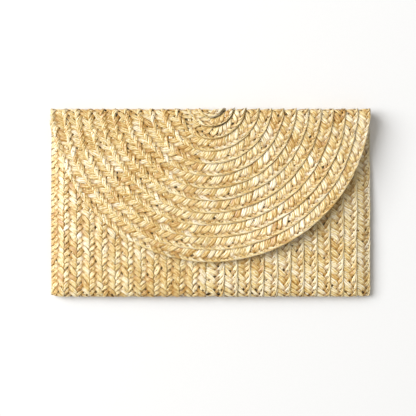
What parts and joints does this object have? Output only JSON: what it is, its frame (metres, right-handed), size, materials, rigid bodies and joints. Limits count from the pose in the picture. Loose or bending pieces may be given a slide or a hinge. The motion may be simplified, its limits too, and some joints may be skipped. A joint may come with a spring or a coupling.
{
  "type": "clutch purse",
  "caption": "Braided straw envelope clutch with a half-round flap of concentric braid rings that folds over the top edge, cotton lining and a hidden magnetic snap.",
  "frame": {"origin": "middle of the underside (the back panel), on the surface that the purse lies on", "axes": "+X across the width, +Y from the bottom edge to the folded top edge, +Z out of the front"},
  "size_m": [0.305, 0.18, 0.0209],
  "materials": {
    "straw_body": "glossy natural straw braid, cream to tan",
    "straw_flap": "glossy natural straw braid, cream to tan",
    "cotton_lining": "plain woven natural cotton",
    "twill_tape": "twill weave cotton tape",
    "snap_brass": "polished brass plate",
    "snap_magnet": "dull grey ferrite"
  },
  "bodies": {
    "pouch": {"body_braid_01": "straw_body", "body_braid_02": "straw_body", "body_braid_03": "straw_body", "body_braid_04": "straw_body", "body_braid_05": "straw_body", "body_braid_06": "straw_body", "body_braid_07": "straw_body", "body_braid_08": "straw_body", "body_braid_09": "straw_body", "body_braid_10": "straw_body", "body_braid_11": "straw_body", "body_braid_12": "straw_body", "body_braid_13": "straw_body", "body_braid_14": "straw_body", "body_braid_15": "straw_body", "body_braid_16": "straw_body", "body_braid_17": "straw_body", "body_braid_18": "straw_body", "body_braid_19": "straw_body", "body_braid_20": "straw_body", "body_braid_21": "straw_body", "body_braid_22": "straw_body", "body_braid_23": "straw_body", "body_braid_24": "straw_body", "back_yoke": "straw_flap", "lining_pouch": "cotton_lining", "mouth_binding": "twill_tape", "side_tape_left": "twill_tape", "side_tape_right": "twill_tape", "snap_cup": "snap_brass", "snap_magnet": "snap_magnet", "snap_cup_washer": "snap_brass"},
    "fold": {"fold_band_left": "straw_flap", "fold_centre_coil": "straw_flap", "fold_band_right": "straw_flap", "lining_fold": "cotton_lining"},
    "flap": {"flap_ring_02": "straw_flap", "flap_ring_03": "straw_flap", "flap_ring_04": "straw_flap", "flap_ring_05": "straw_flap", "flap_ring_06": "straw_flap", "flap_ring_07": "straw_flap", "flap_ring_08": "straw_flap", "flap_ring_09": "straw_flap", "flap_ring_10": "straw_flap", "flap_ring_11": "straw_flap", "flap_ring_12": "straw_flap", "flap_ring_13": "straw_flap", "lining_flap": "cotton_lining", "snap_stud_plate": "snap_brass", "snap_stud_washer": "snap_brass"}
  },
  "joints": [
    {"name": "fold_hinge", "type": "hinge", "parent": "pouch", "child": "fold", "pos_m": [0, 0.0874, 0.0033], "axis": [-1, 0, 0], "range_deg": [0, 90]},
    {"name": "flap_hinge", "type": "hinge", "parent": "fold", "child": "flap", "pos_m": [0, 0.08783, 0.01872], "axis": [-1, 0, 0], "range_deg": [0, 90]}
  ],
  "couplings": [
    {"joint": "flap_hinge", "follows": "fold_hinge", "ratio": 1}
  ]
}
